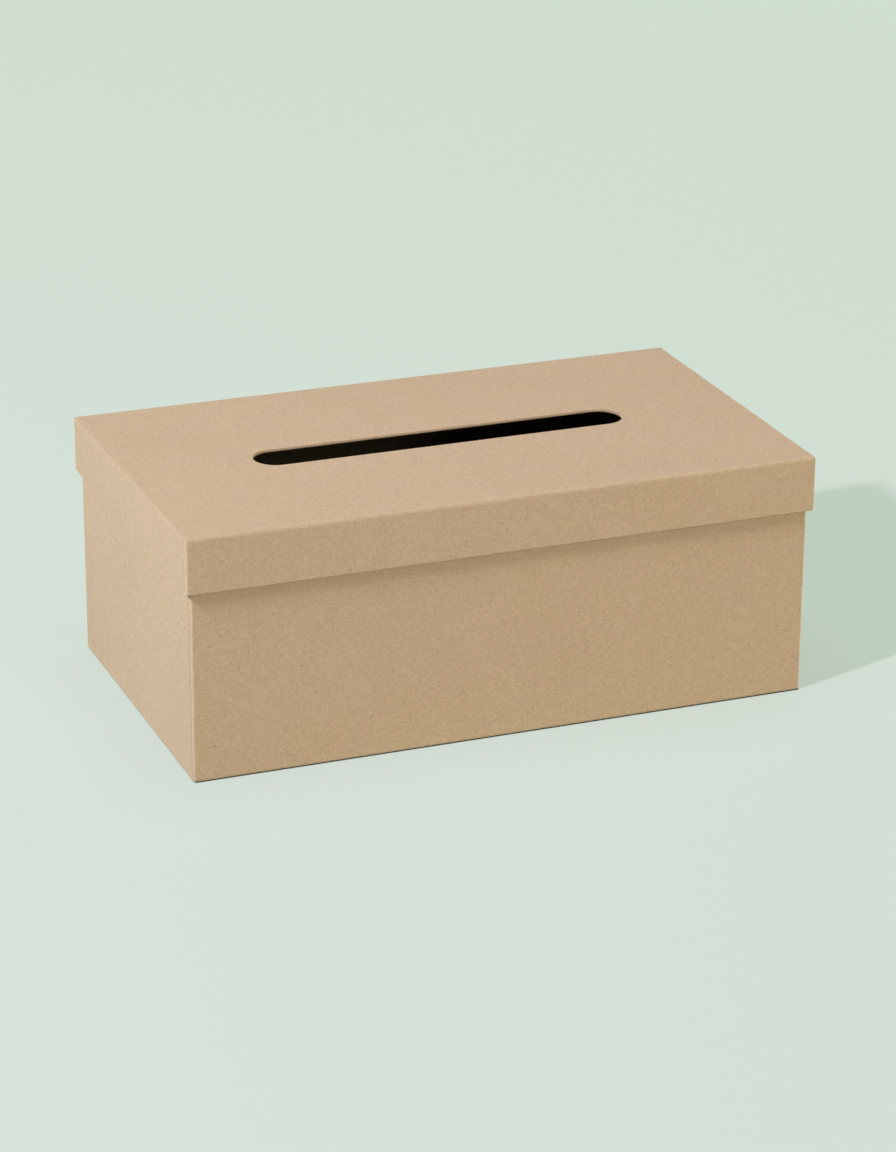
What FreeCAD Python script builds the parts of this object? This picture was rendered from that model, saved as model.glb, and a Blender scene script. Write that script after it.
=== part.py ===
"""A plain rigid paperboard tissue box: a slotted lid that lifts off an open tray.

Millimetres, +Z up, origin at the centre of the underside, X along the length.
Both pieces are boxes folded from the same wrapped board, and the lid is one turned over.
"""
import FreeCAD, Part
import math
import os
import Sketcher

os.makedirs("parts", exist_ok=True)
doc = FreeCAD.newDocument("tissue_box")

# Driving dimensions
DIMENSIONS = (
    ("lid_length", 260.0, "outside of the lid, along X"),
    ("lid_width", 148.0, "outside of the lid, along Y"),
    ("box_height", 100.0, "underside to the top of the closed lid"),
    ("skirt_depth", 22.5, "top of the lid down to the rim of its skirt"),
    ("board", 1.5, "thickness of the wrapped board"),
    ("lid_clearance", 0.7, "gap between the skirt and each wall of the tray"),
    ("slot_length", 156.0, "end to end, over both round ends"),
    ("slot_width", 18.4, "one straight side to the other"),
    ("lid_fold_radius", 1.4, "outside of the lid's folded edges"),
    ("tray_fold_radius", 1.2, "outside of the tray's folded edges"),
    ("inner_fold_radius", 0.5, "inside of every fold"),
    ("rim_radius", 0.4, "where the wrap turns over a cut edge"),
)

sizes = doc.addObject("Spreadsheet::Sheet", "sizes")
for row, (alias, value, meaning) in enumerate(DIMENSIONS, start=1):
    sizes.set(f"A{row}", alias)
    sizes.set(f"B{row}", str(value))
    sizes.set(f"C{row}", meaning)
    sizes.setAlias(f"B{row}", alias)
doc.recompute()

# The tray fits inside the skirt, and its rim reaches up to the lid's underside
TRAY_INSET = "2 * (sizes.board + sizes.lid_clearance)"
TRAY_LENGTH = f"sizes.lid_length - {TRAY_INSET}"
TRAY_WIDTH = f"sizes.lid_width - {TRAY_INSET}"
TRAY_DEPTH = "sizes.box_height - sizes.board"

# The rounding of a cut edge leaves a third of the board flat, for the lid to rest on
CUT_EDGE_RADIUS = "min(sizes.rim_radius; sizes.board / 3)"

# How a constraint names the points of a line or arc, and the sketch's own origin
START, END, CENTRE = 1, 2, 3
SKETCH_ORIGIN = (-1, 1)

NEAR = 1e-6


def flat_sketch(body, name, height):
    """An empty sketch parallel to the body's floor, at a height that is an expression."""
    sketch = body.newObject("Sketcher::SketchObject", name)
    floor_plane = next(plane for plane in body.Origin.OriginFeatures if plane.Role == "XY_Plane")
    sketch.AttachmentSupport = [(floor_plane, "")]
    sketch.MapMode = "FlatFace"
    sketch.setExpression("AttachmentOffset.Base.z", height)
    return sketch


def dimension(sketch, name, constraint, expression):
    """Adds a dimension to the sketch and ties it to the sheet."""
    sketch.renameConstraint(sketch.addConstraint(constraint), name)
    sketch.setExpression(f"Constraints.{name}", expression)


def draw_rectangle(sketch, length, width):
    """A rectangle with its length along X, centred on the sketch's origin."""
    x = sketch.evalExpression(f"({length}) / 2")
    y = sketch.evalExpression(f"({width}) / 2")
    corners = [FreeCAD.Vector(*corner) for corner in ((-x, -y), (x, -y), (x, y), (-x, y))]
    sides = [sketch.addGeometry(Part.LineSegment(corners[i - 1], corners[i])) for i in range(4)]
    left, front, right, back = sides
    for side, following in zip(sides, sides[1:] + sides[:1]):
        sketch.addConstraint(Sketcher.Constraint("Coincident", side, END, following, START))
    for side in (left, right):
        sketch.addConstraint(Sketcher.Constraint("Vertical", side))
    for side in (front, back):
        sketch.addConstraint(Sketcher.Constraint("Horizontal", side))
    sketch.addConstraint(Sketcher.Constraint("Symmetric", front, START, back, START, *SKETCH_ORIGIN))
    dimension(sketch, "length", Sketcher.Constraint("DistanceX", front, START, front, END, 2 * x), length)
    dimension(sketch, "width", Sketcher.Constraint("DistanceY", right, START, right, END, 2 * y), width)


def draw_slot(sketch, length, width):
    """A slot along X with full round ends, centred on the sketch's origin."""
    radius = sketch.evalExpression(f"{width} / 2")
    centre = sketch.evalExpression(f"({length} - {width}) / 2")
    quarter = math.pi / 2
    upwards = FreeCAD.Vector(0, 0, 1)
    right_circle = Part.Circle(FreeCAD.Vector(centre, 0), upwards, radius)
    left_circle = Part.Circle(FreeCAD.Vector(-centre, 0), upwards, radius)
    far = [FreeCAD.Vector(x, radius) for x in (centre, -centre)]
    near = [FreeCAD.Vector(x, -radius) for x in (-centre, centre)]
    right_end = sketch.addGeometry(Part.ArcOfCircle(right_circle, -quarter, quarter))
    far_side = sketch.addGeometry(Part.LineSegment(*far))
    left_end = sketch.addGeometry(Part.ArcOfCircle(left_circle, quarter, 3 * quarter))
    near_side = sketch.addGeometry(Part.LineSegment(*near))
    outline = [right_end, far_side, left_end, near_side]
    for piece, following in zip(outline, outline[1:] + outline[:1]):
        sketch.addConstraint(Sketcher.Constraint("Tangent", piece, END, following, START))
    sketch.addConstraint(Sketcher.Constraint("Horizontal", far_side))
    centres = (left_end, CENTRE, right_end, CENTRE)
    sketch.addConstraint(Sketcher.Constraint("Symmetric", *centres, *SKETCH_ORIGIN))
    dimension(sketch, "end_radius", Sketcher.Constraint("Radius", right_end, radius), f"{width} / 2")
    dimension(sketch, "between_ends", Sketcher.Constraint("DistanceX", *centres, 2 * centre),
              f"{length} - {width}")


def cut_down(body, name, sketch, depth):
    """Cuts the sketch's outline downwards, and makes sure that its full volume is gone."""
    solid_before = body.Shape.Volume
    cut = body.newObject("PartDesign::Pocket", name)
    cut.Profile = sketch
    cut.setExpression("Length", depth)
    doc.recompute()
    expected = Part.Face(sketch.Shape.Wires).Area * cut.Length.Value
    if not math.isclose(solid_before - cut.Shape.Volume, expected, rel_tol=NEAR):
        raise RuntimeError(f"{name} doesn't cut its full volume")
    return cut


def round_edges(body, name, base, radius, chosen):
    """Rounds the edges of the base whose bounds pass the test."""
    rounding = body.newObject("PartDesign::Fillet", name)
    rounding.Base = (base, [f"Edge{number}" for number, edge in enumerate(base.Shape.Edges, start=1)
                            if chosen(edge.BoundBox)])
    rounding.setExpression("Radius", radius)
    doc.recompute()
    return rounding


def lies_at(bounds, height):
    """Whether an edge with these bounds lies flat at this height."""
    return max(abs(bounds.ZMin - height), abs(bounds.ZMax - height)) < NEAR


def lies_within(bounds, outline):
    """Whether an edge with these bounds keeps inside a sketch's outline, seen from above."""
    frame = outline.Shape.BoundBox
    return (frame.XMin - NEAR < bounds.XMin and bounds.XMax < frame.XMax + NEAR
            and frame.YMin - NEAR < bounds.YMin and bounds.YMax < frame.YMax + NEAR)


def folded_box(label, length, width, depth, fold_radius):
    """A box of board with its floor down and its rim up, rounded at each fold and at the rim."""
    body = doc.addObject("PartDesign::Body", label)
    body.Label = label

    footprint = flat_sketch(body, f"{label}_footprint", "0")
    draw_rectangle(footprint, length, width)
    block = body.newObject("PartDesign::Pad", f"{label}_block")
    block.Profile = footprint
    block.setExpression("Length", depth)
    doc.recompute()
    rim = block.Length.Value
    round_edges(body, f"{label}_outer_folds", block, fold_radius, lambda bounds: not lies_at(bounds, rim))

    inside = flat_sketch(body, f"{label}_inside", depth)
    draw_rectangle(inside, f"{length} - 2 * sizes.board", f"{width} - 2 * sizes.board")
    doc.recompute()
    hollow = cut_down(body, f"{label}_hollow", inside, f"{depth} - sizes.board")
    floor = rim - hollow.Length.Value
    lined = round_edges(body, f"{label}_inner_folds", hollow, "sizes.inner_fold_radius",
                        lambda bounds: lies_within(bounds, inside) and bounds.ZMin > floor - NEAR
                        and not lies_at(bounds, rim))

    round_edges(body, f"{label}_rim", lined, CUT_EDGE_RADIUS, lambda bounds: lies_at(bounds, rim))
    return body


# Tray: four walls on a floor, open at the top
tray = folded_box("tray", TRAY_LENGTH, TRAY_WIDTH, TRAY_DEPTH, "sizes.tray_fold_radius")

# Lid: the same box, shallow, with the dispensing slot through what becomes its top
lid = folded_box("lid", "sizes.lid_length", "sizes.lid_width", "sizes.skirt_depth", "sizes.lid_fold_radius")
slot_outline = flat_sketch(lid, "slot_outline", "sizes.board")
draw_slot(slot_outline, "sizes.slot_length", "sizes.slot_width")
doc.recompute()
slot = cut_down(lid, "slot", slot_outline, "sizes.board")
round_edges(lid, "slot_edges", slot, CUT_EDGE_RADIUS,
            lambda bounds: lies_within(bounds, slot_outline) and bounds.ZLength < NEAR)

# The lid is turned over and lies on the tray's rim
lid.Placement = FreeCAD.Placement(FreeCAD.Vector(), FreeCAD.Rotation(FreeCAD.Vector(1, 0, 0), 180))
lid.setExpression("Placement.Base.z", "sizes.box_height")
doc.recompute()

# Nothing is written unless every object is sound
for item in doc.Objects:
    if {"Invalid", "Error"} & set(item.State):
        raise RuntimeError(f"{item.Label} failed: {item.State}")
for piece in (tray, lid):
    if piece.Shape.isNull() or not piece.Shape.isValid():
        raise RuntimeError(f"{piece.Label} has no valid shape")
for piece in (tray, lid):
    piece.Shape.exportStep(f"parts/{piece.Label}.step")
    bounds = piece.Shape.optimalBoundingBox()
    print(f"{piece.Label}: {bounds.XLength:.2f} x {bounds.YLength:.2f} x {bounds.ZLength:.2f} mm, "
          f"z {bounds.ZMin:.2f} to {bounds.ZMax:.2f}, {piece.Shape.Volume / 1000:.1f} cm3")
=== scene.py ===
"""A plain kraft tissue box on a mint studio floor: a slotted lid over an open tray.

Metres, +Z up, origin at the centre of the underside, X along the box and its slot.
"""
from __future__ import annotations

import logging
import math
from collections.abc import Iterable
from dataclasses import dataclass, field
from enum import Enum

import bpy
from mathutils import Matrix, Vector


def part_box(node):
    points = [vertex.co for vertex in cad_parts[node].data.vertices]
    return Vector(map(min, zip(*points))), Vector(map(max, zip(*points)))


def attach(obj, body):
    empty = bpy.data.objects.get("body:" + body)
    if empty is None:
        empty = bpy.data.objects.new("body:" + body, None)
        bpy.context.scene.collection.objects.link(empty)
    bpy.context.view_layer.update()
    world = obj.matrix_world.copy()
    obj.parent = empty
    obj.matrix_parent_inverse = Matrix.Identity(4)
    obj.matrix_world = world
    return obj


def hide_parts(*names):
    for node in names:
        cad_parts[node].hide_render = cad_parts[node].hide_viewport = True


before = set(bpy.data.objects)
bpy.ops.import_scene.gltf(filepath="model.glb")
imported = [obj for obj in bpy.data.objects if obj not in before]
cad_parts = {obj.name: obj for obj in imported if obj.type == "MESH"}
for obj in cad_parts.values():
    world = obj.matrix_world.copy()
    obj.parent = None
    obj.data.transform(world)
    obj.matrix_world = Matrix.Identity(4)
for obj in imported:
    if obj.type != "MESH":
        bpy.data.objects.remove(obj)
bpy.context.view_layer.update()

LOG = logging.getLogger("tissue_box")

MM = 0.001
QUARTER_TURN = math.pi / 2
SHEET_MAP = "sheet"
# Named attribute for how much lighter the paper is: rubbed wear on the folds, a painted highlight along the
# upright corners, and, below 0, a painted shadow along the flap's cut edge.
WEAR_AND_PAINTED_LIGHT = "wear_and_painted_light"
BARE = "bare"

Colour = tuple[float, float, float]
Place = tuple[float, float, float]
Socket = bpy.types.NodeSocket
Feed = Socket | float | tuple[float, ...] | str


def lin(*levels: float) -> Colour:
    """Turns 0 to 255 screen levels into the linear colour that a shader reads.

    Args:
        levels: red, green and blue, as a screen shows them.

    Returns:
        The same colour, linear.
    """
    shares = (level / 255 for level in levels)
    red, green, blue = (s / 12.92 if s <= 0.04045 else ((s + 0.055) / 1.055) ** 2.4 for s in shares)
    return red, green, blue


def spread(first: float, last: float, count: int) -> list[float]:
    """Spreads count + 1 values evenly from first to last, both included."""
    return [first + (last - first) * i / count for i in range(count + 1)]


class Graph:
    """Adds nodes to a tree and joins them up, so that a rule reads as a line of arithmetic."""

    ROWS = 12
    COLUMN_WIDTH, ROW_HEIGHT = 220, 180
    SEEN_RAYS = ("Camera", "Glossy", "Transmission")

    def __init__(self, tree: bpy.types.NodeTree) -> None:
        """Takes a shader or geometry node tree and empties it."""
        self.tree = tree
        tree.nodes.clear()

    def add(self, kind: str, inputs: dict[str | int, Feed] | None = None,
            **settings: object) -> bpy.types.Node:
        """Adds one node.

        Args:
            kind: the node's type.
            inputs: what each input is fed, by its name or number.
            settings: the node's own properties.

        Returns:
            The new node.
        """
        node = self.tree.nodes.new(kind)
        column, row = divmod(len(self.tree.nodes), self.ROWS)
        node.location = (column * self.COLUMN_WIDTH, -row * self.ROW_HEIGHT)
        for name, value in settings.items():
            setattr(node, name, value)
        for key, value in (inputs or {}).items():
            self.feed(node.inputs[key], value)
        return node

    def feed(self, socket: Socket, value: Feed) -> None:
        """Gives an input a link or a constant.

        Args:
            socket: the input.
            value: another node's output, or a constant of the input's kind.
        """
        if isinstance(value, Socket):
            self.tree.links.new(value, socket)
        else:
            socket.default_value = value

    def math(self, operation: str, *values: Feed) -> Socket:
        """Adds a Math node on these values, in order, and takes its result."""
        return self.add("ShaderNodeMath", dict(enumerate(values)), operation=operation).outputs[0]

    def minus(self, value: Feed, taken: Feed) -> Socket:
        """Takes one value from another."""
        return self.math("SUBTRACT", value, taken)

    def times(self, first: Feed, *factors: Feed) -> Socket:
        """Multiplies values.

        Args:
            first: one of them.
            factors: the others.

        Returns:
            Their product.
        """
        for factor in factors:
            first = self.math("MULTIPLY", first, factor)
        return first

    def whole(self, operation: str, *values: Feed) -> Socket:
        """Adds an Integer Math node on these values, in order, and takes its result."""
        return self.add("FunctionNodeIntegerMath", dict(enumerate(values)), operation=operation).outputs[0]

    def limited(self, value: Feed) -> Socket:
        """Holds a value between 0 and 1."""
        return self.add("ShaderNodeClamp", {"Value": value}).outputs[0]

    def blend(self, start: Feed, end: Feed, share: Feed) -> Socket:
        """Goes from start to end as share goes from 0 to 1."""
        return self.math("MULTIPLY_ADD", self.minus(end, start), share, start)

    def seen(self) -> Socket:
        """Tells whether a ray shows the surface to the eye, straight or in a mirror or glass: 1, else 0."""
        path = self.add("ShaderNodeLightPath")
        return self.limited(self.total(path.outputs[f"Is {ray} Ray"] for ray in self.SEEN_RAYS))

    def total(self, values: Iterable[Feed]) -> Socket:
        """Adds up values.

        Args:
            values: two or more of them.

        Returns:
            Their sum.
        """
        first, *others = values
        for value in others:
            first = self.math("ADD", first, value)
        return first


@dataclass(frozen=True)
class KraftFinish:
    """Uncoated brown paper or board: matt, mottled, full of short fibres, with a rare dark speck.

    Attributes:
        name: the material's name.
        colour: the paper's own colour.
        cloudy: how far the tone drifts from cloud to cloud, as a share.
        cloud_size: how large a cloud is.
        tint_size: how large a patch is that leans pink or olive.
        mottled: how far the tone varies from mottle to mottle.
        mottle_size: how large a mottle is.
        grainy: how far it varies from grain to grain.
        grain_size: how large a grain is.
        fibrous: how far single fibres stand out from it.
        depth: how strongly red, green and blue follow all of these; darker spots are browner.
        fibre_length: length of a fibre.
        fibre_width: width of a fibre.
        fibre_layers: each layer's turn from the web's run in degrees, and 1 for pale fibres or -1 for dark.
        fibre_fade: the noise levels between which a fibre fades in.
        speck_spacing: about how far apart specks may lie.
        speck_share: share of those places that have a speck.
        speck_radius: the smallest and the largest speck.
        speck_edge: how far a speck's edge wanders, and how large its bumps are.
        speck_colour: a speck's colour.
        wear_and_painted_light_tone: how much lighter a worn fold is, and how much lighter the painted
            highlight along an upright corner is; the same share darkens the painted shadow along a cut
            edge's line.
        relief: height of the whole surface pattern.
        fibre_relief: share of it that a fibre takes.
        grain_relief: share of it that a grain takes.
        roughness: mean roughness.
        rough_drift: how far the roughness varies with the mottles.
        rubbed_sheen: how much smoother a worn fold is.
    """

    name: str
    colour: Colour
    cloudy: float = 0.03
    cloud_size: float = 45 * MM
    tint_size: float = 18 * MM
    mottled: float = 0.035
    mottle_size: float = 4 * MM
    grainy: float = 0.105
    grain_size: float = 0.5 * MM
    fibrous: float = 0.12
    depth: Colour = (1.0, 1.15, 1.45)
    fibre_length: float = 2.6 * MM
    fibre_width: float = 0.22 * MM
    fibre_layers: tuple[tuple[float, int], ...] = ((8, 1), (-17, -1), (34, 1), (-52, 1), (71, -1), (-3, -1))
    fibre_fade: tuple[float, float] = (0.6, 0.74)
    speck_spacing: float = 7 * MM
    speck_share: float = 0.05
    speck_radius: tuple[float, float] = (0.175 * MM, 0.385 * MM)
    speck_edge: tuple[float, float] = (0.14 * MM, 0.3 * MM)
    speck_colour: Colour = lin(96, 72, 46)
    wear_and_painted_light_tone: float = 0.22
    relief: float = 0.06 * MM
    fibre_relief: float = 0.6
    grain_relief: float = 0.5
    roughness: float = 0.86
    rough_drift: float = 0.06
    rubbed_sheen: float = 0.08

    def material(self) -> bpy.types.Material:
        """Builds the material.

        Returns:
            A material that reads the piece's own flat sheet map, and its worn folds with their painted
            highlight and shadow.
        """
        material = bpy.data.materials.new(self.name)
        material.use_nodes = True
        material.diffuse_color = (*self.colour, 1)
        graph = Graph(material.node_tree)
        sheet = graph.add("ShaderNodeUVMap", uv_map=SHEET_MAP).outputs["UV"]
        fibres = self.fibres(graph, sheet)
        grain = self.noise(graph, sheet, self.grain_size, detail=3)
        mottle = self.noise(graph, sheet, self.mottle_size, detail=4)
        cloud = self.noise(graph, sheet, self.cloud_size, detail=2)
        # Worn folds, a painted highlight along the upright corners and a painted shadow along the cut edges,
        # as one value from the mesh.
        wear_and_painted_light = graph.add("ShaderNodeAttribute", attribute_name=WEAR_AND_PAINTED_LIGHT).outputs["Fac"]
        parts = ((fibres, self.fibrous), (grain, self.grainy), (mottle, self.mottled), (cloud, self.cloudy),
                 (wear_and_painted_light, self.wear_and_painted_light_tone))
        vary = graph.total(graph.times(part, share) for part, share in parts)
        red, green, blue = (graph.math("MULTIPLY_ADD", vary, follows, 1.0) for follows in self.depth)
        blue = self.tinted(graph, sheet, blue)
        shade = graph.add("ShaderNodeCombineXYZ", {"X": red, "Y": green, "Z": blue}).outputs[0]
        ground = graph.add("ShaderNodeVectorMath", {0: self.colour, 1: shade}, operation="MULTIPLY")
        spotted = graph.add("ShaderNodeMix", {
            "Factor": self.specks(graph, sheet), "A": ground.outputs[0],
            "B": (*self.speck_colour, 1)}, data_type="RGBA")
        height = graph.total((graph.times(fibres, self.fibre_relief), graph.times(grain, self.grain_relief)))
        bump = graph.add("ShaderNodeBump", {"Strength": 1.0, "Distance": self.relief, "Height": height})
        rough = graph.math("MULTIPLY_ADD", mottle, self.rough_drift, self.roughness)
        rough = graph.math("MULTIPLY_ADD", wear_and_painted_light, -self.rubbed_sheen, rough)
        shader = graph.add("ShaderNodeBsdfPrincipled", {
            "Base Color": spotted.outputs["Result"], "Roughness": rough, "Normal": bump.outputs["Normal"],
            "Diffuse Roughness": 0.7, "Specular IOR Level": 0.3, "Sheen Weight": 0.06,
            "Sheen Roughness": 0.6})
        graph.add("ShaderNodeOutputMaterial", {"Surface": shader.outputs["BSDF"]})
        return material

    def noise(self, graph: Graph, sheet: Socket, size: float, detail: float) -> Socket:
        """Varies evenly about 0, from about -1 to 1.

        Args:
            graph: where the nodes go.
            sheet: the flat sheet's coordinates.
            size: how large a patch is.
            detail: how many finer layers it has.

        Returns:
            The value.
        """
        level = graph.add("ShaderNodeTexNoise", {
            "Vector": sheet, "Scale": 1 / size, "Detail": detail, "Roughness": 0.6}, noise_dimensions="2D")
        return graph.math("MULTIPLY_ADD", level.outputs["Fac"], 2.0, -1.0)

    def fibres(self, graph: Graph, sheet: Socket) -> Socket:
        """Lays pale and dark fibres over each other, more of them along the web's run than across it.

        Args:
            graph: where the nodes go.
            sheet: the flat sheet's coordinates.

        Returns:
            1 on a pale fibre, -1 on a dark one, 0 between them.
        """
        layers = []
        low, high = self.fibre_fade
        for number, (turn, sign) in enumerate(self.fibre_layers):
            turned = graph.add("ShaderNodeMapping", {
                "Vector": sheet, "Location": (number * 0.37, number * 0.61, 0),
                "Rotation": (0, 0, math.radians(turn))})
            drawn = graph.add("ShaderNodeVectorMath", {
                0: turned.outputs[0], 1: (1 / self.fibre_length, 1 / self.fibre_width, 0)},
                operation="MULTIPLY")
            strands = graph.add("ShaderNodeTexNoise", {
                "Vector": drawn.outputs[0], "Scale": 1.0, "Detail": 1.0, "Distortion": 0.4},
                noise_dimensions="2D")
            edge = graph.add("ShaderNodeMapRange", {
                "Value": strands.outputs["Fac"], "From Min": low, "From Max": high, "To Max": float(sign)})
            layers.append(edge.outputs["Result"])
        return graph.total(layers)

    def specks(self, graph: Graph, sheet: Socket) -> Socket:
        """Strews rare dark specks, which fade in from their ragged edge to half their radius.

        Args:
            graph: where the nodes go.
            sheet: the flat sheet's coordinates.

        Returns:
            The share of the speck's colour.
        """
        cells = graph.add("ShaderNodeTexVoronoi", {"Vector": sheet, "Scale": 1 / self.speck_spacing},
                          voronoi_dimensions="2D")
        chance = graph.add("ShaderNodeSeparateColor", {"Color": cells.outputs["Color"]})
        kept = graph.math("LESS_THAN", chance.outputs["Red"], self.speck_share)
        least, most = (radius / self.speck_spacing for radius in self.speck_radius)
        reach = graph.math("MULTIPLY_ADD", chance.outputs["Green"], most - least, least)
        wander, bump_size = self.speck_edge
        ragged = graph.math("MULTIPLY_ADD", self.noise(graph, sheet, bump_size, detail=1),
                            wander / self.speck_spacing, cells.outputs["Distance"])
        inside = graph.add("ShaderNodeMapRange", {"Value": graph.math("DIVIDE", ragged, reach),
                                                  "From Min": 1.0, "From Max": 0.5, "To Max": 0.75})
        return graph.times(inside.outputs["Result"], kept)

    def tinted(self, graph: Graph, sheet: Socket, blue: Socket) -> Socket:
        """Lets blue wander against red and green, so that the brown leans pink here and olive there."""
        drift = self.noise(graph, sheet, self.tint_size, detail=3)
        return graph.math("MULTIPLY_ADD", drift, self.cloudy, blue)


@dataclass(frozen=True)
class MintFinish:
    """The studio floor's even mint, which keeps the box's shadow as light as soft studio light does.

    Attributes:
        colour: the floor in full light, and what it throws back at the box.
        shaded: the floor in the box's shadow.
        shade_light: share of the light that still reaches the shadow.
        patch_size: how large the floor's paler and darker patches are.
        patchiness: how far apart their tones are.
        contact_size: how far out from the box's foot the thin contact shadow reaches.
        contact: how dark the contact shadow is: at 1 it is black where nothing is open.
        contact_facing: which way it looks for the box: left and back, so that the lit left end has none.
        foot_size: how far out the soft shade round the foot reaches.
        foot_shade: how much of the light that shade takes away.
        far_gain: how much lighter the floor's own look grows per metre of far_way, where the lamp falls off.
        far_way: the way along the floor that leads away from the lamp.
        far_span: from where to where along it that goes on; the origin is at 0.
    """

    colour: Colour = lin(212.5, 225, 215)
    shaded: Colour = lin(188, 204.5, 189)
    shade_light: float = 0.12
    patch_size: float = 2 / 3
    patchiness: float = 0.02
    contact_size: float = 0.8 * MM
    contact: float = 2.4
    contact_facing: Place = (-0.85, 0.5, 0.15)
    foot_size: float = 50 * MM
    foot_shade: float = 0.2
    far_gain: float = 0.09
    far_way: Place = (0.79, 0.61, 0.0)
    far_span: tuple[float, float] = (-1.0, 2.0)

    def material(self) -> bpy.types.Material:
        """Builds the material.

        Returns:
            A matt material.
        """
        material = bpy.data.materials.new("mint_floor")
        material.use_nodes = True
        graph = Graph(material.node_tree)
        place = graph.add("ShaderNodeTexCoord").outputs["Object"]
        patches = graph.add("ShaderNodeTexNoise", {
            "Vector": place, "Scale": 1 / self.patch_size, "Detail": 1.0})
        tone = graph.math("MULTIPLY_ADD", patches.outputs["Fac"], self.patchiness, 1 - self.patchiness / 2)
        lost = [(full - dim) / (1 - self.shade_light) for full, dim in zip(self.colour, self.shaded)]
        kept = [full - part for full, part in zip(self.colour, lost)]
        bounced = self.matt(graph, self.colour, tone)
        facing = graph.add("ShaderNodeCombineXYZ", dict(zip("XYZ", self.contact_facing))).outputs[0]
        contact = self.covered(graph, self.contact_size, self.contact, {"Normal": facing})
        clear = graph.limited(graph.minus(1.0, contact))
        lit = self.matt(graph, lost, graph.times(tone, clear))
        under_foot = self.covered(graph, self.foot_size, self.foot_shade, {})
        far = graph.add("ShaderNodeVectorMath", {0: place, 1: self.far_way}, operation="DOT_PRODUCT")
        start, end = self.far_span
        gain = graph.add("ShaderNodeMapRange", {
            "Value": far.outputs["Value"], "From Min": start, "From Max": end,
            "To Min": 1 + start * self.far_gain, "To Max": 1 + end * self.far_gain})
        strength = graph.times(graph.minus(1.0, under_foot), clear, gain.outputs["Result"])
        own = graph.add("ShaderNodeEmission", {"Color": (*kept, 1), "Strength": strength})
        shown = graph.add("ShaderNodeAddShader", {0: lit, 1: own.outputs[0]}).outputs[0]
        mixed = graph.add("ShaderNodeMixShader", {0: graph.seen(), 1: bounced, 2: shown})
        graph.add("ShaderNodeOutputMaterial", {"Surface": mixed.outputs[0]})
        return material

    def covered(self, graph: Graph, size: float, share: float,
                facing: dict[str, Socket]) -> Socket:
        """Measures how much a thing on the floor covers it.

        Args:
            graph: where the nodes go.
            size: how far away the thing may be.
            share: what full cover counts for.
            facing: the Normal input, where the floor's own normal doesn't do.

        Returns:
            0 in the open, up to the share under cover.
        """
        values = {"Distance": size, **facing}
        open_share = graph.add("ShaderNodeAmbientOcclusion", values, samples=8).outputs["AO"]
        return graph.times(graph.minus(1.0, open_share), share)

    def matt(self, graph: Graph, colour: Iterable[float], tone: Socket) -> Socket:
        """Adds a matt shader of one colour, whose lightness follows the tone."""
        toned = graph.add("ShaderNodeVectorMath", {0: tuple(colour), "Scale": tone}, operation="SCALE")
        return graph.add("ShaderNodeBsdfDiffuse", {"Color": toned.outputs[0], "Roughness": 0.5}).outputs[0]


class Way(Enum):
    """Which way up a folded piece stands."""

    UPRIGHT = 1
    OVERTURNED = -1


@dataclass(frozen=True)
class Ring:
    """One closed loop round the surface of the board.

    Attributes:
        inset: distance into the board from the outline that the loop follows.
        height: height above the outside of the piece's own floor.
        corner: radius of the loop's corners.
        opening: 0 on the outer outline, 1 on the opening's, and in between on the panel that joins them.
        relief: how much of the wrap's laps shows through; it also sets how much of the painted corner
            highlight and cut-edge shadow a ring takes.
        wear_and_painted_light: how much lighter the paper is here, from rubbed wear and from a painted
            highlight.
        bare: whether the board has no wrap here.
    """

    inset: float
    height: float
    corner: float
    opening: float = 0.0
    relief: float = 0.0
    wear_and_painted_light: float = 0.0
    bare: bool = False


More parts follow.
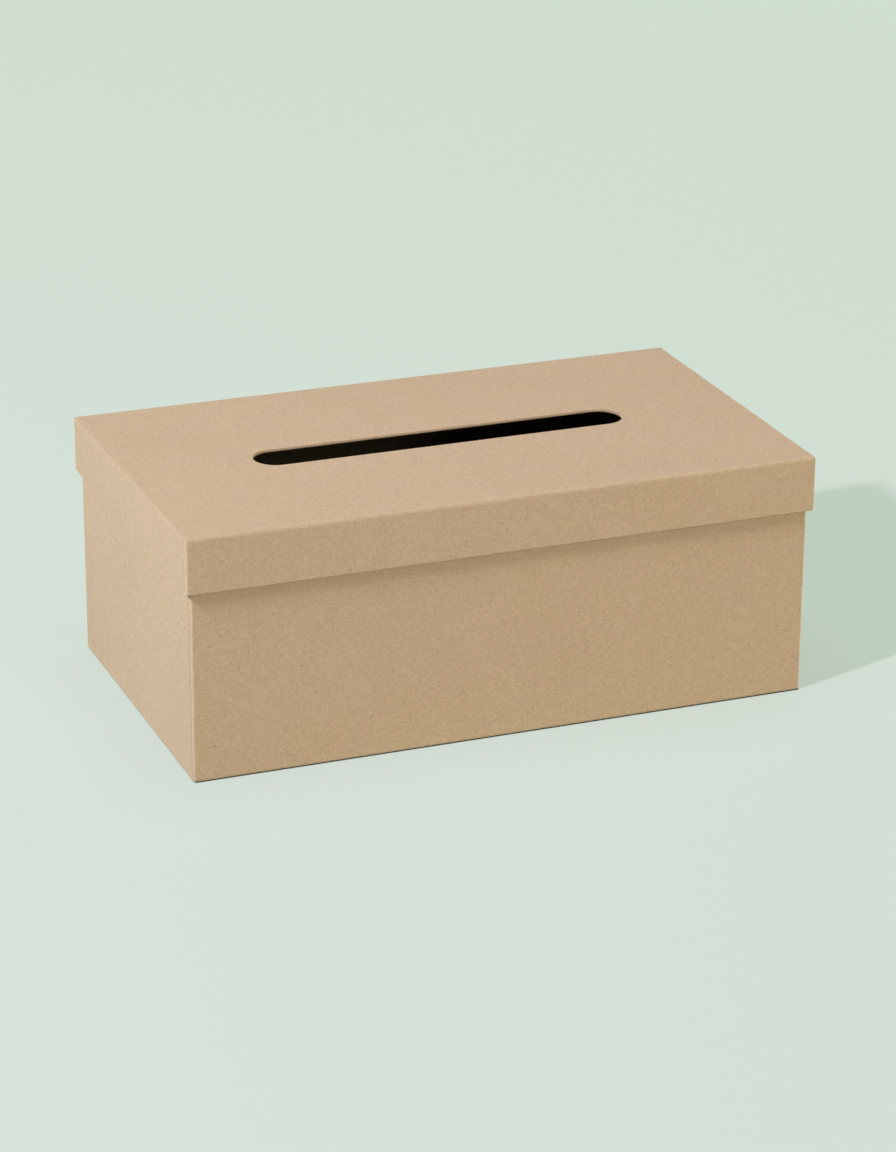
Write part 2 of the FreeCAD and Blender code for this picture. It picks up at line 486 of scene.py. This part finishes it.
class BoardTree:
    """The Geometry Nodes rule for folded board: each ring goes round its outline and joins the next.

    The wrap is glued over the long sides first. Each end flap then covers their laps, which reach round the
    corners. So the first steps from a corner are the flap's edge, a bend up, the lap and a bend down.
    """

    NAME = "folded_board"
    LAP_STEPS = 4
    WELD_DISTANCE = 0.004 * MM
    RING_VALUES = ("inset", "corner", "opening", "relief", "wear_and_painted_light")
    LENGTHS = ("Length", "Width", "Opening Length", "Opening Width", "Flap Edge", "Lap Reach", "Step Width",
               "Paper", "Seam Painted Shadow", "Unevenness", "Unevenness Size")
    COUNTS = ("Corner Segments", "Side Segments", "Seed")
    MATERIALS = ("Wrap", "Bare Board")

    def __init__(self) -> None:
        """Builds the tree."""
        self.tree = bpy.data.node_groups.new(self.NAME, "GeometryNodeTree")
        face = self.tree.interface
        face.new_socket("Geometry", in_out="INPUT", socket_type="NodeSocketGeometry")
        for names, kind in ((self.LENGTHS, "Float"), (self.COUNTS, "Int"), (self.MATERIALS, "Material")):
            for name in names:
                face.new_socket(name, in_out="INPUT", socket_type=f"NodeSocket{kind}")
        face.new_socket("Geometry", in_out="OUTPUT", socket_type="NodeSocketGeometry")
        self.graph = Graph(self.tree)
        self.inputs = self.graph.add("NodeGroupInput").outputs
        self.build()

    def build(self) -> None:
        """Joins the whole rule up."""
        graph, inputs = self.graph, self.inputs
        table = graph.add("GeometryNodeAttributeDomainSize", {"Geometry": inputs["Geometry"]})
        rings = table.outputs["Point Count"]
        quarter = graph.whole("ADD", inputs["Corner Segments"], inputs["Side Segments"])
        round_count = graph.whole("MULTIPLY", quarter, 4)
        grid = graph.add("GeometryNodeMeshGrid", {
            "Vertices X": graph.whole("ADD", round_count, 1), "Vertices Y": rings}).outputs["Mesh"]
        index = graph.add("GeometryNodeInputIndex").outputs[0]
        ring = graph.whole("MODULO", index, rings)
        column = graph.whole("MODULO", graph.whole("DIVIDE_FLOOR", index, rings), round_count)
        values = {name: self.of_ring(name, ring) for name in self.RING_VALUES}
        placed, wear_and_painted_light = self.place(values, self.height_of(ring), column, quarter)
        shell = graph.add("GeometryNodeSetPosition", {"Geometry": grid, "Position": placed}).outputs[0]
        for name, value, kind in ((WEAR_AND_PAINTED_LIGHT, wear_and_painted_light, "FLOAT"), (BARE, self.of_ring(BARE, ring), "BOOLEAN")):
            shell = graph.add("GeometryNodeStoreNamedAttribute", {
                "Geometry": shell, "Name": name, "Value": value}, data_type=kind, domain="POINT").outputs[0]
        shell = graph.add("GeometryNodeMergeByDistance", {
            "Geometry": shell, "Distance": self.WELD_DISTANCE}).outputs[0]
        shell = graph.add("GeometryNodeSetPosition", {"Geometry": shell, "Offset": self.sunken()}).outputs[0]
        shell = graph.add("GeometryNodeSetShadeSmooth", {"Geometry": shell}).outputs[0]
        shell = graph.add("GeometryNodeRealizeInstances", {"Geometry": shell}).outputs[0]
        bare = graph.add("GeometryNodeInputNamedAttribute", {"Name": BARE}, data_type="BOOLEAN").outputs[0]
        for covered, name in ((True, "Wrap"), (bare, "Bare Board")):
            shell = graph.add("GeometryNodeSetMaterial", {
                "Geometry": shell, "Selection": covered, "Material": inputs[name]}).outputs[0]
        graph.add("NodeGroupOutput", {"Geometry": shell})

    def of_ring(self, name: str, ring: Socket) -> Socket:
        """Looks up one of a ring's values by its name."""
        held = self.graph.add("GeometryNodeInputNamedAttribute", {"Name": name}, data_type="FLOAT")
        return self.sample(held.outputs[0], ring, "FLOAT")

    def height_of(self, ring: Socket) -> Socket:
        """Looks up a ring's height."""
        place = self.sample(self.graph.add("GeometryNodeInputPosition").outputs[0], ring, "FLOAT_VECTOR")
        return self.graph.add("ShaderNodeSeparateXYZ", {0: place}).outputs["Z"]

    def sample(self, value: Socket, ring: Socket, kind: str) -> Socket:
        """Reads a value of one data type off the table of rings, at a ring's number."""
        return self.graph.add("GeometryNodeSampleIndex", {
            "Geometry": self.inputs["Geometry"], "Value": value, "Index": ring}, data_type=kind).outputs[0]

    def place(self, ring: dict[str, Socket], height: Socket, column: Socket,
              quarter: Socket) -> tuple[Socket, Socket]:
        """Places one point of a ring: round a corner, then along the side that follows.

        Args:
            ring: the ring's values.
            height: the ring's height.
            column: how many steps round the ring the point is.
            quarter: how many steps a corner and its side take.

        Returns:
            The point's position, and how much lighter the paper is there: rubbed wear and a painted
            highlight along the upright corners, less a painted shadow along the flap's cut edge.
        """
        graph, inputs = self.graph, self.inputs
        side = graph.whole("DIVIDE_FLOOR", column, quarter)
        step = graph.whole("MODULO", column, quarter)
        turn = graph.limited(graph.math("DIVIDE", step, inputs["Corner Segments"]))
        walked = graph.minus(step, inputs["Corner Segments"])
        to_go = graph.minus(inputs["Side Segments"], walked)
        is_end = graph.whole("MODULO", side, 2)
        side_length = graph.blend(inputs["Length"], inputs["Width"], is_end)
        along = self.walk(walked, to_go, side_length)

        first = graph.math("MULTIPLY_ADD", side, QUARTER_TURN, QUARTER_TURN / 2)
        second = graph.math("ADD", first, QUARTER_TURN)
        heading = graph.times(graph.math("ADD", side, turn), QUARTER_TURN)
        end_share = graph.blend(graph.minus(1.0, is_end), is_end, turn)
        raised = graph.math("ADD", self.over_lap(walked), self.over_lap(to_go))
        sunk = graph.times(end_share, graph.minus(1.0, raised), ring["relief"], inputs["Paper"])
        reach = graph.minus(ring["corner"], sunk)

        at = []
        for wave, name in (("COSINE", "Length"), ("SINE", "Width")):
            outer = graph.minus(graph.times(inputs[name], 0.5), ring["inset"])
            inner = graph.math("MULTIPLY_ADD", inputs[f"Opening {name}"], 0.5, ring["inset"])
            centre = graph.minus(graph.blend(outer, inner, ring["opening"]), ring["corner"])
            signs = (graph.times(graph.math(wave, angle), math.sqrt(2)) for angle in (first, second))
            sign = graph.blend(*signs, along)
            swing = graph.times(graph.math(wave, heading), reach)
            at.append(graph.math("MULTIPLY_ADD", sign, centre, swing))
        placed = graph.add("ShaderNodeCombineXYZ", {"X": at[0], "Y": at[1], "Z": height}).outputs[0]

        # A painted highlight along each upright corner, laid over the fold's wear.
        mid_turn = graph.math("SINE", graph.times(turn, math.pi))
        wear_and_painted_light = graph.math("MAXIMUM", ring["wear_and_painted_light"], graph.times(mid_turn, ring["relief"]))
        # A painted shadow along the flap's cut edge, beside the corner.
        painted_seam_shadow = graph.math("ADD", self.at_seam(walked), self.at_seam(to_go))
        painted_seam_shadow = graph.times(painted_seam_shadow, end_share, ring["relief"], inputs["Seam Painted Shadow"])
        return placed, graph.minus(wear_and_painted_light, painted_seam_shadow)

    def walk(self, walked: Socket, to_go: Socket, side_length: Socket) -> Socket:
        """Spaces the steps along a side: close together at the laps near its ends, and even between them.

        Args:
            walked: steps since the last corner.
            to_go: steps to the next corner.
            side_length: the side's outside length.

        Returns:
            The share of the side that is behind.
        """
        graph = self.graph
        start = graph.math("DIVIDE", self.lap_distance(walked), side_length)
        whole_lap = graph.math("DIVIDE", self.lap_distance(graph.math("ADD", to_go, walked)), side_length)
        ahead = graph.math("DIVIDE", self.lap_distance(to_go), side_length)
        middle_steps = graph.minus(self.inputs["Side Segments"], 2.0 * self.LAP_STEPS)
        share = graph.limited(graph.math("DIVIDE", graph.minus(walked, float(self.LAP_STEPS)), middle_steps))
        middle = graph.times(graph.math("MULTIPLY_ADD", whole_lap, -2.0, 1.0), share)
        return graph.total([start, middle, graph.minus(whole_lap, ahead)])

    def lap_distance(self, steps: Socket) -> Socket:
        """Gives the distance that the lap's steps take.

        Args:
            steps: how many steps from a corner; more than the lap has count no further.

        Returns:
            The distance from the corner.
        """
        graph, inputs = self.graph, self.inputs
        lap = graph.minus(inputs["Lap Reach"], inputs["Flap Edge"])
        pieces = (inputs["Flap Edge"], inputs["Step Width"], lap, inputs["Step Width"])
        return graph.total(graph.times(graph.limited(graph.minus(steps, float(number))), piece)
                           for number, piece in enumerate(pieces))

    def over_lap(self, steps: Socket) -> Socket:
        """Tells where the flap rides over the lap, by the steps from a corner: 1 at the second and third."""
        bend_up, bend_down = (self.graph.limited(self.graph.minus(steps, start)) for start in (1.0, 3.0))
        return self.graph.minus(bend_up, bend_down)

    def at_seam(self, steps: Socket) -> Socket:
        """Tells where the flap's cut edge shows, by the steps from a corner: 1 at the first, 0 elsewhere."""
        off = self.graph.math("ABSOLUTE", self.graph.minus(steps, 1.0))
        return self.graph.limited(self.graph.minus(1.0, off))

    def sunken(self) -> Socket:
        """Lets the board lie uneven, always inwards, so that it never outgrows its size.

        Returns:
            The offset of each point.
        """
        graph, inputs = self.graph, self.inputs
        place = graph.add("GeometryNodeInputPosition").outputs[0]
        scale = graph.math("DIVIDE", 1.0, inputs["Unevenness Size"])
        waves = graph.add("ShaderNodeTexNoise", {
            "Vector": place, "W": inputs["Seed"], "Scale": scale, "Detail": 1.0}, noise_dimensions="4D")
        depth = graph.times(graph.limited(waves.outputs["Fac"]), inputs["Unevenness"])
        normal = graph.add("GeometryNodeInputNormal").outputs[0]
        return graph.add("ShaderNodeVectorMath", {0: normal, "Scale": graph.times(depth, -1.0)},
                         operation="SCALE").outputs[0]

    def carry_out(self, piece: bpy.types.Object, values: dict[str, object]) -> None:
        """Runs the rule on a table of rings, and leaves a plain mesh.

        Args:
            piece: an object whose points are the rings.
            values: the tree's inputs by name.
        """
        modifier = piece.modifiers.new(self.NAME, "NODES")
        modifier.node_group = self.tree
        keys = {item.name: item.identifier for item in self.tree.interface.items_tree
                if item.in_out == "INPUT"}
        for name, value in values.items():
            modifier[keys[name]] = value
        view = bpy.context.evaluated_depsgraph_get()
        mesh = bpy.data.meshes.new_from_object(piece.evaluated_get(view), preserve_all_data_layers=True,
                                               depsgraph=view)
        piece.modifiers.remove(modifier)
        mesh.attributes.remove(mesh.attributes[BARE])
        while mesh.materials[0] is None:
            mesh.materials.pop(index=0)
        table, piece.data = piece.data, mesh
        mesh.name = piece.name
        bpy.data.meshes.remove(table)


@dataclass
class FoldedBoard:
    """A box folded from one wrapped board, with its floor, four walls and a rim.

    Attributes:
        wrap: the paper's material.
        bare_board: the material where no paper covers the board.
        node: the CAD node that it stands for, and the body that it rides on.
        way: which way up it stands.
        fold_radius: outside radius of each fold.
        board: thickness of the wrapped board.
        inner_radius: inside radius of each fold.
        rim_radius: rounding of a cut edge.
        turn_in: how far the wrap reaches down inside from the rim.
        paper: thickness of the paper.
        flap_edge: where the flap's cut edge lies, from the corner.
        lap_reach: how far the laps under the end flaps reach round the corner.
        step_width: how wide a bend of the paper over an edge below it is.
        fold_wear_and_highlight: how much lighter the folds and rims are, for rubbed wear and a painted
            highlight, against 1 along the upright corners, where a painted highlight lies.
        seam_painted_shadow: how dark the painted shadow along the line of the wrap's cut edge is.
        unevenness: how far the board may lie off its plane.
        unevenness_size: how far apart its waves are.
        corner_segments: steps round a corner.
        side_segments: steps along a side.
        fold_steps: steps over an outer fold.
        edge_steps: steps over a rounded edge, and over an inner fold.
        outer_spacing: about how far apart the rings on the outside of the walls are.
        inner_spacing: the same on the inside.
        seed: which waves the board has.
        sheet_place: where the piece's paper was cut from the web, so that no two pieces share a speck.
        low: the CAD node's lowest corner.
        high: its highest corner.
    """

    wrap: bpy.types.Material
    bare_board: bpy.types.Material
    node: str = "tray"
    way: Way = Way.UPRIGHT
    fold_radius: float = 1.2 * MM
    board: float = 1.5 * MM
    inner_radius: float = 0.5 * MM
    rim_radius: float = 0.4 * MM
    turn_in: float = 15 * MM
    paper: float = 0.15 * MM
    flap_edge: float = 0.4 * MM
    lap_reach: float = 6.5 * MM
    step_width: float = 0.8 * MM
    fold_wear_and_highlight: float = 0.1
    seam_painted_shadow: float = 0.8
    unevenness: float = 0.12 * MM
    unevenness_size: float = 45 * MM
    corner_segments: int = 12
    side_segments: int = 40
    fold_steps: int = 8
    edge_steps: int = 5
    outer_spacing: float = 6 * MM
    inner_spacing: float = 7 * MM
    seed: int = 1
    sheet_place: tuple[float, float] = (0.0, 0.0)
    low: Vector = field(init=False)
    high: Vector = field(init=False)

    def __post_init__(self) -> None:
        """Takes the outside size from the CAD node."""
        self.low, self.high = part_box(self.node)

    @property
    def length(self) -> float:
        """Outside length."""
        return self.high.x - self.low.x

    @property
    def width(self) -> float:
        """Outside width."""
        return self.high.y - self.low.y

    @property
    def depth(self) -> float:
        """From the outside of its floor to its rim."""
        return self.high.z - self.low.z

    @property
    def opening_size(self) -> tuple[float, float]:
        """Length and width of the opening: a closed floor meets itself in a line."""
        return self.length - self.width, 0.0

    @property
    def lip(self) -> float:
        """Rounding of the opening's edges."""
        return 0.0

    def panel(self, inset: float, height: float, bare: bool) -> list[Ring]:
        """Covers the floor with rings, closer together next to the opening and to the folds.

        Args:
            inset: how far in the panel starts from the outer outline.
            height: the panel's height.
            bare: whether the board is bare there.

        Returns:
            The rings, from the opening outwards.
        """
        end_radius = self.opening_size[1] / 2 + self.lip
        shares = (1, 0.994, 0.95, 0.88, 0.79, 0.69, 0.59, 0.49, 0.39, 0.29, 0.2, 0.12, 0.05, 0.006, 0)
        return [Ring(inset + (self.lip - inset) * share, height, end_radius * share, opening=share,
                     wear_and_painted_light=self.fold_wear_and_highlight * (share == 0 and not bare), bare=bare)
                for share in shares]

    def outside(self) -> list[Ring]:
        """Covers the outer fold and the outside of the walls, with a ring close to each bend.

        Returns:
            The rings, from the floor to the rim.
        """
        radius, end = self.fold_radius, self.depth - self.rim_radius
        fold = [Ring(radius * (1 - math.sin(turn)), radius * (1 - math.cos(turn)), radius * math.sin(turn),
                     relief=math.sin(turn) ** 2, wear_and_painted_light=self.fold_wear_and_highlight)
                for turn in spread(0, QUARTER_TURN, self.fold_steps)[1:]]
        count = round(self.depth / self.outer_spacing)
        levels = [radius + 0.5 * MM, *spread(radius + 4 * MM, end - 3 * MM, count), end - 0.4 * MM]
        wall = [Ring(0, level, radius, relief=1) for level in levels]
        return [*fold, *wall]

    def rim(self) -> list[Ring]:
        """Turns over the cut edge of the walls.

        Returns:
            The rings, from the outside to the inside.
        """
        radius, top, wear = self.rim_radius, self.depth - self.rim_radius, self.fold_wear_and_highlight
        outer, inner = self.fold_radius, self.inner_radius - self.paper
        turns = spread(0, QUARTER_TURN, self.edge_steps)
        over = [Ring(radius * (1 - math.cos(turn)), top + radius * math.sin(turn),
                     outer - radius * (1 - math.cos(turn)), relief=math.cos(turn), wear_and_painted_light=wear)
                for turn in turns]
        down = [Ring(self.board - radius * (1 - math.sin(turn)), top + radius * math.cos(turn),
                     inner + radius * (1 - math.sin(turn)), wear_and_painted_light=wear)
                for turn in turns]
        return [*over, *down]

    def inside(self) -> list[Ring]:
        """Covers the inside of the walls and the inner fold: paper down to its cut edge, then bare board.

        Returns:
            The rings, from the rim to the floor.
        """
        inner, bare_inset = self.inner_radius, self.board - self.paper
        edge = self.depth - self.turn_in
        covered = [Ring(self.board, level, inner - self.paper)
                   for level in spread(self.depth - self.rim_radius - 0.5 * MM, edge, 4)]
        count = max(2, round((edge - self.board) / self.inner_spacing))
        cut = edge - 0.02 * MM
        bare = [Ring(bare_inset, level, inner, bare=True)
                for level in spread(cut, self.board + inner + 0.4 * MM, count)]
        centre = bare_inset + inner
        fold = [Ring(centre - inner * math.cos(turn), self.board + inner * (1 - math.sin(turn)),
                     inner * math.cos(turn), bare=True)
                for turn in spread(0, QUARTER_TURN, self.edge_steps)[:-1]]
        return [*covered, *bare, *fold]

    def opening_edge(self) -> list[Ring]:
        """Goes up through the opening, back to where the rings began: a closed floor has none."""
        return []

    def rings(self) -> list[Ring]:
        """Lists every ring in order.

        Returns:
            The rings, from the floor's outside round to its inside.
        """
        bare_floor = self.board - self.paper + self.inner_radius
        rings = [*self.panel(self.fold_radius, 0, False), *self.outside(), *self.rim(), *self.inside(),
                 *reversed(self.panel(bare_floor, self.board, True)), *self.opening_edge()]
        return rings if self.way is Way.UPRIGHT else rings[::-1]

    def ring_table(self) -> bpy.types.Mesh:
        """Writes the rings down as the points of a mesh.

        Returns:
            The mesh, with each ring's values as attributes.
        """
        rings = self.rings()
        floor = self.low.z if self.way is Way.UPRIGHT else self.high.z
        table = bpy.data.meshes.new(f"{self.node}_rings")
        table.from_pydata([(0, 0, floor + self.way.value * ring.height) for ring in rings], [], [])
        for name in (*BoardTree.RING_VALUES, BARE):
            values = table.attributes.new(name, "FLOAT", "POINT").data
            values.foreach_set("value", [float(getattr(ring, name)) for ring in rings])
        return table

    def lay_flat(self, mesh: bpy.types.Mesh) -> None:
        """Maps the piece onto its paper as it lay before folding: each wall next to its edge of the floor.

        Args:
            mesh: the finished mesh.
        """
        floor = self.low.z if self.way is Way.UPRIGHT else self.high.z
        across, along = self.sheet_place
        flat = mesh.uv_layers.new(name=SHEET_MAP)
        for polygon in mesh.polygons:
            x_share, y_share, z_share = (abs(part) for part in polygon.normal)
            on_end = x_share > max(y_share, z_share)
            on_side = y_share > z_share and not on_end
            sign_x, sign_y = (math.copysign(1, part) for part in polygon.center[:2])
            for corner in polygon.loop_indices:
                x, y, z = mesh.vertices[mesh.loops[corner].vertex_index].co
                out = abs(z - floor)
                x += sign_x * out * on_end
                y += sign_y * out * on_side
                flat.uv[corner].vector = (x + across, y + along)

    def make(self, tree: BoardTree) -> bpy.types.Object:
        """Builds the piece, dresses it and puts it in the CAD node's place.

        Args:
            tree: the rule for folded board.

        Returns:
            The finished piece.
        """
        piece = bpy.data.objects.new(f"kraft_{self.node}", self.ring_table())
        bpy.context.scene.collection.objects.link(piece)
        opening_length, opening_width = self.opening_size
        tree.carry_out(piece, {
            "Length": self.length, "Width": self.width, "Opening Length": opening_length,
            "Opening Width": opening_width, "Flap Edge": self.flap_edge, "Lap Reach": self.lap_reach,
            "Step Width": self.step_width, "Paper": self.paper, "Seam Painted Shadow": self.seam_painted_shadow,
            "Unevenness": self.unevenness, "Unevenness Size": self.unevenness_size,
            "Corner Segments": self.corner_segments, "Side Segments": self.side_segments, "Seed": self.seed,
            "Wrap": self.wrap, "Bare Board": self.bare_board})
        self.lay_flat(piece.data)
        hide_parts(self.node)
        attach(piece, self.node)
        return piece


@dataclass
class Tray(FoldedBoard):
    """The open tray: a floor and four walls, up to the lid's underside."""

    seed: int = 3
    sheet_place: tuple[float, float] = (0.7, 0.4)


@dataclass
class Lid(FoldedBoard):
    """The lid: the same box, shallow and turned over, with the slot cut through what becomes its top.

    Attributes:
        slot_length: end to end, over both round ends.
        slot_width: one straight side to the other.
        lip_steps: steps over each edge of the slot.
    """

    node: str = "lid"
    way: Way = Way.OVERTURNED
    fold_radius: float = 1.4 * MM
    turn_in: float = 14 * MM
    seam_painted_shadow: float = 0.2
    seed: int = 7
    slot_length: float = 156 * MM
    slot_width: float = 18.4 * MM
    lip_steps: int = 4

    @property
    def opening_size(self) -> tuple[float, float]:
        """Length and width of the slot."""
        return self.slot_length, self.slot_width

    @property
    def lip(self) -> float:
        """Rounding of the slot's edges."""
        return self.rim_radius

    def opening_edge(self) -> list[Ring]:
        """Goes up through the slot, back to where the rings began.

        Returns:
            The rings, from the inside to the outside.
        """
        lip, corner = self.lip, self.slot_width / 2
        turns = spread(0, QUARTER_TURN, self.lip_steps)
        lower = [Ring(lip * (1 - math.sin(turn)), self.board - lip * (1 - math.cos(turn)),
                      corner + lip * (1 - math.sin(turn)), opening=1, bare=True)
                 for turn in turns[1:]]
        upper = [Ring(lip * (1 - math.cos(turn)), lip * (1 - math.sin(turn)),
                      corner + lip * (1 - math.cos(turn)), opening=1, wear_and_painted_light=self.fold_wear_and_highlight)
                 for turn in turns]
        return [*lower, *upper]


@dataclass(frozen=True)
class ProductCamera:
    """The camera, placed round the origin as the photograph was taken.

    Attributes:
        azimuth: degrees round from the front, towards the right.
        elevation: degrees above the floor.
        roll: degrees of turn about the line of sight.
        lens: focal length in millimetres.
        distance: from the origin, along the line of sight.
        aside: how far the camera stands to the right of that line.
        above: how far it stands above it.
        sensor_width: in millimetres.
        clip: the nearest and the farthest that it sees.
    """

    azimuth: float = -21.507
    elevation: float = 21.656
    roll: float = 0.37
    lens: float = 117.5
    distance: float = 1531.7 * MM
    aside: float = 3.7 * MM
    above: float = 37.375 * MM
    sensor_width: float = 36.0
    clip: tuple[float, float] = (0.05, 60.0)

    def place(self) -> bpy.types.Object:
        """Adds the camera and makes it the scene's.

        Returns:
            The camera.
        """
        azimuth, elevation, roll = (math.radians(v) for v in (self.azimuth, self.elevation, self.roll))
        back = Vector((math.sin(azimuth) * math.cos(elevation), -math.cos(azimuth) * math.cos(elevation),
                       math.sin(elevation)))
        level = Vector((math.cos(azimuth), math.sin(azimuth), 0))
        upright = back.cross(level)
        right = level * math.cos(roll) + upright * math.sin(roll)
        up = upright * math.cos(roll) - level * math.sin(roll)
        place = back * self.distance + right * self.aside + up * self.above
        data = bpy.data.cameras.new("product_camera")
        data.lens = self.lens
        data.sensor_width = self.sensor_width
        data.clip_start, data.clip_end = self.clip
        camera = bpy.data.objects.new(data.name, data)
        turned = Matrix((right, up, back)).transposed().to_4x4()
        camera.matrix_world = Matrix.Translation(place) @ turned
        bpy.context.scene.collection.objects.link(camera)
        bpy.context.scene.camera = camera
        return camera


class LampKind(Enum):
    """What a lamp is: a small bulb, or the square face of a softbox."""

    BULB = "POINT"
    SOFTBOX = "AREA"


@dataclass(frozen=True)
class Lamp:
    """One studio lamp, turned to the origin.

    Attributes:
        name: the lamp's name.
        kind: what it is.
        place: where it hangs.
        level: how brightly it lights a white surface that faces it at the origin; 1 is white.
        size: a bulb's radius, or a softbox's width and height.
        colour: the light's colour.
    """

    name: str
    kind: LampKind
    place: Place
    level: float
    size: float
    colour: Colour

    def hang(self, lit: Iterable[bpy.types.Object]) -> None:
        """Hangs the lamp.

        Args:
            lit: the things that its light falls on.
        """
        data = bpy.data.lights.new(self.name, self.kind.value)
        data.color = self.colour
        power = self.level * math.pi ** 2 * Vector(self.place).length_squared
        if self.kind is LampKind.BULB:
            data.energy = 4 * power
            data.shadow_soft_size = self.size
        else:
            data.energy = power
            data.size = self.size
        lamp = bpy.data.objects.new(self.name, data)
        lamp.location = self.place
        lamp.rotation_euler = Vector(self.place).to_track_quat("Z", "Y").to_euler()
        bpy.context.scene.collection.objects.link(lamp)
        receivers = bpy.data.collections.new(f"lit_by_{self.name}")
        for thing in lit:
            receivers.objects.link(thing)
        lamp.light_linking.receiver_collection = receivers


@dataclass(frozen=True)
class Studio:
    """The mint floor and the lamps: softboxes light the box, and a small bulb draws its shadow on the floor.

    Attributes:
        floor: the floor's finish.
        floor_radius: how far the floor reaches.
        bulb: the lamp that draws the shadow.
        softboxes: the lamps that light the box: cool from high on the left, warm from low at the right.
        round_level: how bright the light from all round is; 1 is white.
        round_colour: its colour.
        distance_level: how bright the mint beyond the floor looks.
        floor_sides: how many sides the floor's outline has.
    """

    floor: MintFinish = MintFinish()
    floor_radius: float = 8.0
    bulb: Lamp = Lamp("bulb", LampKind.BULB, (-1.562, -0.641, 1.3), 1.15, 0.05, (1.0, 1.0, 1.0))
    softboxes: tuple[Lamp, ...] = (
        Lamp("left_softbox", LampKind.SOFTBOX, (-1.3, -0.43, 1.33), 0.91, 0.45, (0.92, 0.95, 1.0)),
        Lamp("right_softbox", LampKind.SOFTBOX, (1.26, -1.05, 0.42), 0.7, 0.84, (1.0, 0.925, 0.7)))
    round_level: float = 0.12
    round_colour: Colour = (1.0, 1.0, 1.0)
    distance_level: float = 0.94
    floor_sides: int = 96

    def build(self, pieces: Iterable[bpy.types.Object]) -> None:
        """Sets the floor, the lamps, the surroundings and the view's colours.

        Args:
            pieces: what stands on the floor.
        """
        self.bulb.hang([self.lay_floor()])
        for softbox in self.softboxes:
            softbox.hang(pieces)
        self.surround()
        bpy.context.scene.view_settings.view_transform = "Standard"

    def lay_floor(self) -> bpy.types.Object:
        """Lays a round floor under the box.

        Returns:
            The floor.
        """
        ring = [(self.floor_radius * math.cos(angle), self.floor_radius * math.sin(angle), 0)
                for angle in spread(0, 2 * math.pi, self.floor_sides)[:-1]]
        mesh = bpy.data.meshes.new("mint_floor")
        mesh.from_pydata(ring, [], [range(self.floor_sides)])
        mesh.materials.append(self.floor.material())
        floor = bpy.data.objects.new(mesh.name, mesh)
        bpy.context.scene.collection.objects.link(floor)
        return floor

    def surround(self) -> None:
        """Lights the scene evenly from all round, and shows the camera a mint distance."""
        world = bpy.data.worlds.new("studio")
        world.use_nodes = True
        graph = Graph(world.node_tree)
        light = graph.add("ShaderNodeBackground", {
            "Color": (*self.round_colour, 1), "Strength": self.round_level})
        shown = graph.add("ShaderNodeBackground", {
            "Color": (*self.floor.colour, 1), "Strength": self.distance_level})
        looks = {0: graph.seen(), 1: light.outputs[0], 2: shown.outputs[0]}
        mixed = graph.add("ShaderNodeMixShader", looks)
        graph.add("ShaderNodeOutputWorld", {"Surface": mixed.outputs[0]})
        bpy.context.scene.world = world


def main() -> None:
    """Builds both pieces of the box, and the studio round them."""
    logging.basicConfig(level=logging.INFO, format="%(name)s: %(message)s")
    wrap = KraftFinish("kraft_wrap", (0.61, 0.44, 0.29)).material()
    # The bare board is darker than plain chipboard: painted shade, so that the inside seen through the slot
    # stays as dark as its shadow.
    board = KraftFinish("bare_chipboard_with_painted_shade", (0.22, 0.17, 0.12), mottled=0.08, fibrous=0.18, wear_and_painted_light_tone=0.0,
                        speck_share=0.25, relief=0.09 * MM).material()
    tree = BoardTree()
    pieces = []
    for part in (Tray(wrap, board), Lid(wrap, board)):
        piece = part.make(tree)
        pieces.append(piece)
        LOG.info("%s: %d faces, for CAD node %s", piece.name, len(piece.data.polygons), part.node)
    ProductCamera().place()
    Studio().build(pieces)


if __name__ == "__main__":
    main()
